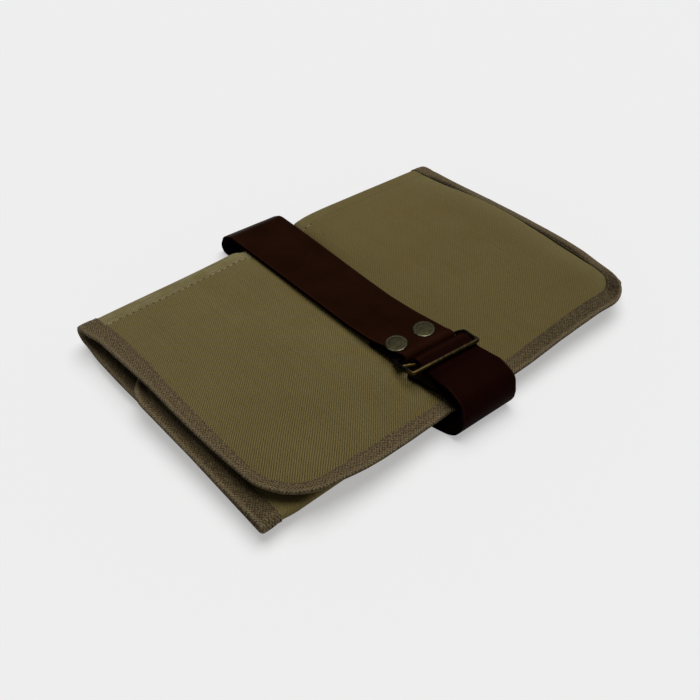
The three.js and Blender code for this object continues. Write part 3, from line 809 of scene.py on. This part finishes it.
def make_canvas():
    arc = CORNER_RADIUS * (1 - np.cos(np.linspace(0, np.pi / 2, ARC_POINTS)))
    rows = joined(arc, divided(STRETCH_STEPS), SHEET_WIDTH - arc, spaced(*SEAM_ROWS))
    columns = joined(*(spaced(*run) for run in CANVAS_COLUMNS))
    narrowing = 1 - corner_inset(rows) / HALF_LENGTH
    u = columns[None, :] * narrowing[:, None]
    v = np.broadcast_to(rows[:, None], u.shape)
    half = np.full(u.shape, HALF_CANVAS)
    faces = grid_faces(*u.shape)
    index = np.arange(u.size).reshape(u.shape)
    rim = np.concatenate([index[0, :-1], index[:-1, -1], index[-1, :0:-1], index[:0:-1, 0]])
    after = np.roll(rim, -1)
    walls = np.stack([rim, rim + u.size, after + u.size, after], -1)
    everything = np.concatenate([faces, faces[:, ::-1] + u.size, walls])
    points = np.stack([lifted(u, v, half), lifted(u, v, -half)])
    flat = np.stack([u, v], -1)
    return make_piece("canvas_sheet", points, everything, np.stack([flat, flat]))


# The binding

def sheet_edge(step):
    """Places round the edge of the flat sheet, anticlockwise: u, v, the way out, and the distance gone."""
    centre_u, centre_v = HALF_LENGTH - CORNER_RADIUS, SHEET_WIDTH - CORNER_RADIUS
    places = []

    def corner(u, v, start):
        count = round(CORNER_RADIUS * math.pi / 2 / step)
        for angle in np.linspace(start, start + np.pi / 2, count):
            out = (math.cos(angle), math.sin(angle))
            places.append((u + CORNER_RADIUS * out[0], v + CORNER_RADIUS * out[1], *out))

    across = spaced(-centre_u, centre_u, step)[1:-1]
    along = divided((step, step / 3, step, step / 2, step))[1:-1]
    corner(-centre_u, CORNER_RADIUS, math.pi)
    places += [(u, 0, 0, -1) for u in across]
    corner(centre_u, CORNER_RADIUS, -math.pi / 2)
    places += [(HALF_LENGTH, v, 1, 0) for v in along]
    corner(centre_u, centre_v, 0)
    places += [(u, SHEET_WIDTH, 0, 1) for u in across[::-1]]
    corner(-centre_u, centre_v, math.pi / 2)
    places += [(-HALF_LENGTH, v, -1, 0) for v in along[::-1]]
    # it starts in the middle of the inner flap's free edge, out of sight
    start = np.argmin([math.hypot(u, v) for u, v, *_ in places])
    places = np.array(places[start:] + places[:start])
    u, v, out_u, out_v = places.T
    return SimpleNamespace(u=u, v=v, out_u=out_u, out_v=out_v, gone=distance_gone(places[:, :2]))


def top_reach(edge):
    """How far the tape reaches onto the outer face, round the sheet's edge."""
    left = np.interp(edge.v - FLAP_START, *LEFT_REACH.T)
    front = np.interp(edge.u, *FRONT_REACH.T)
    reach = lerp(front, left, np.minimum(edge.out_u, 0) ** 2)
    reach = lerp(reach, TAPE_WIDTH, np.maximum(edge.out_u, 0) ** 2)
    return np.where(edge.v > FLAP_START - REACH_START, reach, TAPE_WIDTH)


def tape_channel():
    """The tape's section round the canvas's edge: distance out from the edge, and height off its middle."""
    near = HALF_CANVAS + TAPE_GAP
    nose_out, nose_share = TAPE_NOSE
    side = [(out, HALF_CANVAS + lift) for out, lift in TAPE_SECTION]
    nose = [(nose_out, near * nose_share), (nose_out, -near * nose_share)]
    back = [(out, -lift) for out, lift in side[::-1]]
    outs = (-TAPE_WIDTH, -TAPE_WIDTH / 2, TAPE_INSIDE)
    inside = [(out, -near) for out in outs] + [(out, near) for out in outs[::-1]]
    return np.array(side + nose + back + inside)


def in_corner(edge):
    return rising(np.abs(edge.out_u * edge.out_v), 0.1, 0.4)


def on_right_front(edge):
    return (edge.v > FLAP_START) & (edge.out_u > 0)


def corner_puckers(edge):
    """The tape's puckers in the corners, and larger ones at the flap's right front corner."""
    strength = in_corner(edge) * np.where(on_right_front(edge), 2.2, 1)
    return strength * np.sin(2 * np.pi * edge.gone / 5.2 + 1.3 * waves(edge.gone, 0, 12, 20))


def tape_marks(edge):
    """How dark the painted shadow of the bulge is in the crease down the flap's right side, how far out it
    reaches, and the painted shade on the tape, with dirt in the right front corner; the painted shadow is
    darkest near its two ends."""
    past = edge.v - FLAP_START
    deep = hump(past, 118, 18) + 0.7 * hump(past, 24, 13)
    # the crease's painted shadow, on the tape beyond the bulge
    crease_shadow = rising(edge.out_u, 0.75, 0.95) * rising(past, 0, 16)
    crease_shadow = crease_shadow * (1.4 + 0.4 * waves(edge.gone, 0, 14, 40)) * (1 + 1.2 * deep)
    on_front = rising(edge.out_v, 0.4, 0.8) * rising(edge.u, 10, 50)
    shade_and_grime = CORNER_SHADE_AND_GRIME * in_corner(edge) * on_right_front(edge) + FRONT_SHADE * on_front
    return crease_shadow, CREASE_SHADOW_EDGES[1] + 2.6 * deep, shade_and_grime


def tape_painted_light_and_grime(edge, marks, out, lift):
    """The painted light, painted shade and dirt of one line of the tape's section, all the way round."""
    crease_shadow, crease_shadow_end, shade_and_grime = marks
    # the nose gets painted shade, the crest a painted highlight, and the bottom panel's inner face painted
    # shade
    if abs(lift) < HALF_CANVAS:
        return NOSE_SHADE
    if out > CREST_EDGE:
        return CREST_HIGHLIGHT
    if lift > 0:
        return BOTTOM_SHADE * (edge.v > INNER_LENGTH) * (edge.v < BACK_START)
    # painted light deep under the inner flap, where it lies in shade; painted shade with dirt on the rest of
    # it, and the crease's painted shadow
    painted_light_mask = rising(-out, 3.0, 6.5) * falling(edge.v, 55, 92)
    inner = (edge.v < INNER_LENGTH) * (INNER_SHADE_AND_GRIME - INNER_PAINTED_LIGHT * painted_light_mask)
    return np.maximum(crease_shadow * falling(out, CREASE_SHADOW_EDGES[0], crease_shadow_end), shade_and_grime) + inner


def make_binding():
    edge = sheet_edge(TAPE_STEP)
    channel = tape_channel()
    marks = tape_marks(edge)
    outward = unit(folded(edge.u, edge.v) - folded(edge.u - edge.out_u, edge.v - edge.out_v))
    share = (top_reach(edge) + TAPE_RAGGED * waves(edge.gone, 0, 11, 14)) / TAPE_WIDTH
    puckers = TAPE_PUCKER * corner_puckers(edge)
    loose = TAPE_LOOSE * waves(edge.gone, 0, 13, 9)
    shape = (len(edge.u), len(channel))
    points = np.empty((*shape, 3))
    flat = np.empty((*shape, 2))
    wear_and_painted_light = np.empty(shape)
    for k, (out, lift) in enumerate(channel):
        outer = lift < 0
        within = min(out, 0) * (share if outer else 1.0)
        beyond = max(out, 0)
        slack = loose + puckers * min(1.0, -out / PUCKER_FULL)
        slack = np.where(abs(lift) > HALF_CANVAS + LOOSE_LIFT, slack, 0.0)
        u, v = edge.u + within * edge.out_u, edge.v + within * edge.out_v
        points[:, k] = lifted(u, v, lift + np.sign(lift) * slack) + outward * beyond
        flat[:, k] = np.stack([edge.gone, (within + beyond) * (1 if outer else -1) + 0 * edge.gone], -1)
        wear_and_painted_light[:, k] = tape_painted_light_and_grime(edge, marks, out, lift)
    return make_piece("binding_tape", points, grid_faces(*shape, around=True, loop=True), flat, wear_and_painted_light)


# The stitches

def make_stitches(name, start, end, lift, thread):
    """Rows of stitches between places on the flat sheet; lift is the face that they lie on."""
    rings, sides = 6, 7
    sunk, narrow_end, flatness = 0.3, 0.55, 0.75
    turn = np.linspace(0, 2 * np.pi, sides, endpoint=False)
    ahead = unit(folded(end[:, 0], end[:, 1]) - folded(start[:, 0], start[:, 1]))
    points = np.empty((len(start), rings, sides, 3))
    for k, f in enumerate(np.linspace(0, 1, rings)):
        middle = 1 - (2 * f - 1) ** 4
        u, v = lerp(start, end, f).T
        upward = folded_normal(u, v) * np.sign(lift)[:, None]
        beside = np.cross(ahead, upward)
        centre = folded(u, v) + upward * (np.abs(lift) - sunk * thread * (1 - middle))[:, None]
        radius = thread / 2 * lerp(narrow_end, 1, middle)
        for j, angle in enumerate(turn):
            spoke = flatness * math.cos(angle) * upward + math.sin(angle) * beside
            points[:, k, j] = centre + radius * spoke
    faces = []
    for first in range(0, len(start) * rings * sides, rings * sides):
        faces += [[first + corner for corner in face] for face in tube_faces(rings, sides)]
    return make_piece(name, points, faces)


def make_fold_seam():
    at = np.arange(SEAM_ENDS[0], SEAM_ENDS[1], SEAM_PITCH)
    across = np.full(len(at), SEAM_V)
    start = np.stack([at + SEAM_GAP, across], -1)
    end = np.stack([at + SEAM_PITCH - SEAM_GAP, across], -1)
    lift = np.full(len(at), -HALF_CANVAS - SEAM_LIFT)
    return make_stitches("fold_stitches", start, end, lift, SEAM_THREAD)


def make_tape_seams():
    edge = sheet_edge(STITCH_STEP)
    first = np.arange(0, edge.gone[-1] - TAPE_PITCH, TAPE_PITCH)
    starts, ends, lifts = [], [], []
    for face, share in ((-1, top_reach(edge) / TAPE_WIDTH), (1, np.ones(len(edge.u)))):
        rows = (edge.u + STITCH_ROW * share * edge.out_u, edge.v + STITCH_ROW * share * edge.out_v)
        for shift, places in ((STITCH_GAP, starts), (TAPE_PITCH - STITCH_GAP, ends)):
            places.append(np.stack([np.interp(first + shift, edge.gone, row) for row in rows], -1))
        lifts.append(np.full(len(first), face * (HALF_CANVAS + STITCH_LIFT)))
    start, end, lift = np.concatenate(starts), np.concatenate(ends), np.concatenate(lifts)
    return make_stitches("tape_stitches", start, end, lift, TAPE_THREAD)


# The strap

def bend_points(before, at, after, radius, step):
    """The points of a bend between two straight stretches: a single one, or an arc."""
    if radius == 0:
        return [at]
    back, ahead = unit(before - at), unit(after - at)
    half = math.acos(np.clip(back @ ahead, -1, 1)) / 2
    turn = math.pi - 2 * half
    centre = at + unit(back + ahead) * radius / math.sin(half)
    spoke = at + back * radius / math.tan(half) - centre
    sense = -np.sign(back[0] * ahead[1] - back[1] * ahead[0])
    count = max(3, math.ceil(turn / step) + 1)
    aside = np.array([-spoke[1], spoke[0]])
    angles = np.linspace(0, turn, count) * sense
    return [centre + (math.cos(angle) * spoke + math.sin(angle) * aside) for angle in angles]


def strap_line():
    """The middle of the strap along its route: places, distance gone, then skew, edges and wear at each."""
    places, bends = [], []
    for i, (here, radius) in enumerate(zip(ROUTE[:, :2], ROUTE[:, 2])):
        before, after = ROUTE[max(i - 1, 0), :2], ROUTE[min(i + 1, len(ROUTE) - 1), :2]
        for at in bend_points(before, here, after, radius, STRAP_TURN):
            start = places[-1] if places else at
            gap = np.linalg.norm(at - start)
            if places and gap < STRAP_SHORTEST:
                continue
            count = max(1, math.ceil(gap / STRAP_LONGEST))
            places += [lerp(start, at, k / count) for k in range(1, count)]
            places.append(at)
            bends += [-1] * (count - 1) + [i]
    places, bends = np.array(places), np.array(bends)
    gone = distance_gone(places)
    middles = np.array([gone[bends == i][[0, -1]].mean() for i in range(len(ROUTE))])
    upto = np.clip(np.searchsorted(middles, gone, side="left"), 1, len(ROUTE) - 1)
    blend = rising(gone, middles[upto - 1], middles[upto])
    values = lerp(ROUTE[upto - 1, 3:], ROUTE[upto, 3:], blend[:, None])
    return places, gone, *values.T


def strap_point(x, at, skew):
    """A point of the strap at x, turned about the strap's middle where it runs through the rings."""
    return np.stack([x, at[..., 0] + STRAP_SKEW * skew * (x - STRAP_X), at[..., 1] + 0 * x], -1)


def strap_section():
    """The strap's outline, over its outer face and back inside: share of its width, inset in millimetres,
    share of half its thickness, and whether it is on an edge."""
    quarter = np.linspace(0, np.pi / 2, 5)
    flat = np.linspace(0, 1, STRAP_COLUMNS)[1:-1]
    outline = []

    def round_edge(share, into, side, angles):
        for angle in angles:
            inset = into * EDGE_ROUND * (1 - math.sin(angle))
            rise = side * (HALF_STRAP - EDGE_ROUND * (1 - math.cos(angle))) / HALF_STRAP
            outline.append((share, inset, rise, angle > EDGE_ANGLE))

    for side, start, end in ((1, 0, 1), (-1, 1, 0)):
        round_edge(start, side, side, quarter[::-1])
        outline.extend((lerp(start, end, f), 0.0, side, False) for f in flat)
        round_edge(end, -side, side, quarter)
    return outline


def make_strap():
    places, gone, skew, near, far, painted_shade_and_highlight = strap_line()
    ahead = unit(np.diff(places, axis=0))
    back = np.vstack([ahead[:1], ahead])
    ahead = np.vstack([ahead, ahead[-1:]])
    along = unit(back + ahead)
    spread = HALF_STRAP / np.maximum((along * ahead).sum(1), SHARPEST_BEND)
    up = np.stack([-along[:, 1], along[:, 0]], -1) * spread[:, None]
    outline = strap_section()
    following = outline[1:] + outline[:1]
    shape = (len(places), len(outline))
    points = np.empty((*shape, 3))
    flat = np.empty((*shape, 2))
    wear_and_painted_light = np.empty(shape)
    around = []
    travelled = 0.0
    for k, ((share, inset, rise, edge), after) in enumerate(zip(outline, following)):
        x = lerp(near, far, share) + inset
        points[:, k] = strap_point(x, places + up * rise, skew)
        flat[:, k] = np.stack([gone, np.full(len(gone), travelled)], -1)
        # painted shade along the near edge of covered layers, a painted highlight on the ridges, and on the
        # rims a burnished line with a painted highlight
        rim = RIM_BURNISH_AND_HIGHLIGHT if inset and not edge else 0.0
        wear_and_painted_light[:, k] = np.where(painted_shade_and_highlight > 0, painted_shade_and_highlight * falling(x - near, *SHADE_SPAN), np.minimum(painted_shade_and_highlight, rim))
        aside = (after[0] - share) * STRAP_WIDTH + after[1] - inset
        travelled += math.hypot(aside, (after[2] - rise) * HALF_STRAP)
        inner_face = 2 if rise + after[2] < 0 else 0
        around.append(1 if edge and after[3] else inner_face)
    piece = make_piece("leather_strap", points, tube_faces(*shape), flat, wear_and_painted_light)
    # each strip of faces has its material: outer face, edge or inner face; the two ends are edges
    slots = np.concatenate([np.tile(around, len(places) - 1), [1, 1]]).astype(np.int32)
    piece.data.polygons.foreach_set("material_index", slots)
    return piece


# The rings and rivets

def ring_line(corners):
    """Points along the middle of a ring's wire, from its corners."""
    corners = np.array(corners)
    path = []
    for before, corner, after in zip(np.roll(corners, 1, axis=0), corners, np.roll(corners, -1, axis=0)):
        path += bend_points(before[:2], corner[:2], after[:2], corner[2], RING_TURN)
    line = []
    for here, ahead in zip(path, path[1:] + path[:1]):
        count = max(1, math.ceil(math.dist(here, ahead) / RING_LONGEST))
        line += [lerp(here, ahead, f / count) for f in range(count)]
    return np.array(line)


def make_ring(name, corners, place, lift, roll, bent, bright_near, bright_front):
    line = ring_line(corners)
    across, forward = line.T
    ahead = unit(np.roll(line, -1, axis=0) - np.roll(line, 1, axis=0))
    turn = np.linspace(0, 2 * np.pi, RING_SIDES, endpoint=False)
    out = np.stack([ahead[:, 1], -ahead[:, 0], np.zeros(len(line))], -1)
    rise = bent * rising(across, *RING_FAR_SIDE) * hump(forward, *RING_BEND)
    centre = np.stack([across, forward, rise], -1)
    points = (centre[:, None] + out[:, None] * np.cos(turn)[None, :, None] * WIRE_RADIUS
              + np.array([0, 0, 1.0]) * np.sin(turn)[None, :, None] * WIRE_RADIUS)
    x, y, z = place
    skewed = Matrix.Translation((x, y + STRAP_SKEW * (x - STRAP_X), z))
    skewed = skewed @ Matrix.Rotation(math.atan(STRAP_SKEW), 4, "Z")
    tilted = Matrix.Rotation(math.radians(roll), 4, "Y") @ Matrix.Rotation(-math.radians(lift), 4, "X")
    # dark with tarnish and painted shade, except towards the front bar and the near side
    bright = rising(-forward, *bright_front) * (0.5 + 0.5 * rising(-across, *bright_near))
    wear_and_painted_light = np.broadcast_to(bright[:, None], (len(line), RING_SIDES))
    faces = grid_faces(len(line), RING_SIDES, around=True, loop=True)
    return make_piece(name + "_wire", turned(points, skewed @ tilted), faces, wear_and_painted_light=wear_and_painted_light)


def strap_heights(y):
    """The heights at which the middle of the strap passes over y, in the order of its route."""
    places = strap_line()[0]
    start, end = places[:-1], places[1:]
    passing = (start[:, 0] - y) * (end[:, 0] - y) < 0
    share = (y - start[passing, 0]) / (end[passing, 0] - start[passing, 0])
    return lerp(start[passing, 1], end[passing, 1], share)


LOWER_Z, UPPER_Z = strap_heights(RIVET_Y)[:2]
RIVET_TILT = math.atan2(strap_heights(RIVET_Y + 1)[1] - UPPER_Z, 1)
RIVET_GRIP = UPPER_Z - LOWER_Z + 2 * HALF_STRAP


def rivet_profile():
    """A rivet's radius and height: foot, post, the cap's rim, the groove inside it, and its middle."""
    cap, foot, post, half = RIVET_CAP / 2, RIVET_FOOT / 2, RIVET_POST / 2, RIVET_GRIP / 2
    low, top = -half - RIVET_FOOT_HEIGHT, half + RIVET_CAP_HEIGHT
    return np.array([
        (0.01, low), (foot - 0.5, low), (foot - 0.1, -half - 0.3), (foot, -half),
        (post, -half + 0.1), (post, half - 0.1),
        (cap - 0.5, half - 0.05), (cap - 0.12, half + 0.1), (cap, half + 0.38), (cap - 0.08, half + 0.66),
        (cap - 0.32, half + 0.9), (cap - 0.8, top - 0.04), (cap - 1.2, top),
        (cap - 1.45, top - 0.1), (cap - 1.7, top - 0.02),
        (cap - 2.6, top + 0.03), (1.6, top + 0.05), (0.01, top + 0.06)]).T


def make_rivet(name, side):
    radius, height = rivet_profile()
    turn = np.linspace(0, 2 * np.pi, RIVET_SIDES, endpoint=False)
    shape = (len(radius), RIVET_SIDES)
    points = np.stack([radius[:, None] * np.cos(turn), radius[:, None] * np.sin(turn),
                       np.broadcast_to(height[:, None], shape)], -1)
    x = RIVET_X + side * RIVET_SPREAD
    y = RIVET_Y + STRAP_SKEW * RIVET_SKEW * (x - STRAP_X)
    lean = Matrix.Rotation(RIVET_TILT + RIVET_LEAN[0], 4, "X") @ Matrix.Rotation(RIVET_LEAN[1], 4, "Y")
    matrix = Matrix.Translation((x, y, (UPPER_Z + LOWER_Z) / 2)) @ lean
    from_rim = radius - RIVET_CAP / 2
    shine = np.interp(from_rim, *CAP_SHINE.T)
    # a painted highlight on the rim's near side
    rubbed_and_highlight = np.interp(from_rim, *CAP_HIGHLIGHT.T)[:, None] * np.maximum(0, np.cos(turn - NEAR_SIDE))
    on_cap = height[:, None] > RIVET_GRIP / 2 + CAP_EDGE
    wear_and_painted_light = np.where(on_cap, shine[:, None] + rubbed_and_highlight, 0.0)
    return make_piece(name + "_cap", turned(points, matrix), tube_faces(*shape), wear_and_painted_light=wear_and_painted_light)


canvas_cloth = canvas_material()
tape_cloth = tape_material()
canvas_thread = thread_material("canvas_thread", rgb(156, 144, 106), rgb(108, 94, 60))
tape_thread = thread_material("tape_thread", rgb(97, 81, 52), rgb(56, 44, 24))
# the leather's third colour is a painted highlight, also used for burnished rims
leather = leather_material("leather", rgb(20, 6, 1), rgb(32, 13, 6), rgb(58, 30, 21), 0.42)
# the inner face is darker: its own burgundy tone, with painted shade inside the loops and on the tail
leather_back = leather_material("leather_back", rgb(15, 3, 1), rgb(22, 5, 3), rgb(58, 33, 24), 0.46)
leather_edge = edge_material()
# the brass's near black stands for tarnish and painted shade
brass = metal_material("antique_brass", rgb(9, 6, 4), rgb(70, 57, 27), 600, 0.32, 0.5)
nickel = metal_material("dull_nickel", rgb(27, 24, 15), rgb(49, 46, 30), 500, 0.36, 0.46)

canvas = dress(make_canvas(), [canvas_cloth], "canvas", "canvas_body")
binding = dress(make_binding(), [tape_cloth], "tape", "edge_binding")
fold_stitches = dress(make_fold_seam(), [canvas_thread], "canvas")
tape_stitches = dress(make_tape_seams(), [tape_thread], "tape")
strap = dress(make_strap(), [leather, leather_edge, leather_back], "leather", "strap")
for name, ring in RINGS.items():
    dress(make_ring(name, **ring), [brass], "brass", name)
for name, side in (("rivet_near", -1), ("rivet_far", 1)):
    dress(make_rivet(name, side), [nickel], "nickel", name)


# The floor, the light and the camera

def make_floor():
    mesh = bpy.data.meshes.new("floor")
    corners = [(x * FLOOR_SIZE, y * FLOOR_SIZE, 0) for x, y in ((-1, -1), (1, -1), (1, 1), (-1, 1))]
    mesh.from_pydata(corners, [], [(0, 1, 2, 3)])
    paper = Nodes("floor_paper").finish(
        Base_Color=(FLOOR_GREY, FLOOR_GREY, FLOOR_GREY, 1), Roughness=0.95, Specular_IOR_Level=0.1,
        Emission_Color=(1, 1, 1, 1), Emission_Strength=FLOOR_GLOW)
    mesh.materials.append(paper)
    floor = add_object("floor", mesh)


def make_backdrop():
    """A studio that is as pale as the floor where they meet, and darker overhead."""
    world = bpy.data.worlds.new("studio")
    world.use_nodes = True
    tree = world.node_tree
    kinds = ("TexCoord", "SeparateXYZ", "MapRange")
    direction, split, fade = [tree.nodes.new("ShaderNode" + kind) for kind in kinds]
    fade.interpolation_type = "SMOOTHSTEP"
    for index, value in ((1, 0.0), (2, FADE_HEIGHT), (3, HORIZON), (4, OVERHEAD)):
        fade.inputs[index].default_value = value
    background = tree.nodes["Background"]
    background.inputs["Color"].default_value = (1, 1, 1, 1)
    tree.links.new(direction.outputs["Generated"], split.inputs[0])
    tree.links.new(split.outputs["Z"], fade.inputs[0])
    tree.links.new(fade.outputs[0], background.inputs["Strength"])
    bpy.context.scene.world = world


def add_soft_light():
    """A wide, even light from far off."""
    data = bpy.data.lights.new("overhead", "SUN")
    data.angle = math.radians(LIGHT_WIDTH)
    data.energy = LIGHT_POWER
    light = add_object("overhead", data)
    light.rotation_euler = (-Vector(LIGHT_TOWARDS)).to_track_quat("-Z", "Y").to_euler()


def add_camera():
    data = bpy.data.cameras.new("photo_camera")
    data.sensor_fit = "HORIZONTAL"
    data.sensor_width = SENSOR
    data.lens = SENSOR * FOCAL / PICTURE
    data.clip_start = CLIP_START * MM
    camera = add_object("photo_camera", data)
    level = math.cos(CAMERA_PITCH)
    back = Vector((math.sin(CAMERA_YAW) * level, -math.cos(CAMERA_YAW) * level, math.sin(CAMERA_PITCH)))
    camera.location = CAMERA_PLACE * MM
    camera.rotation_euler = (-back).to_track_quat("-Z", "Y").to_euler()
    bpy.context.scene.camera = camera


make_floor()
make_backdrop()
add_soft_light()
add_camera()
bpy.context.scene.view_settings.view_transform = "Standard"

bpy.context.view_layer.update()
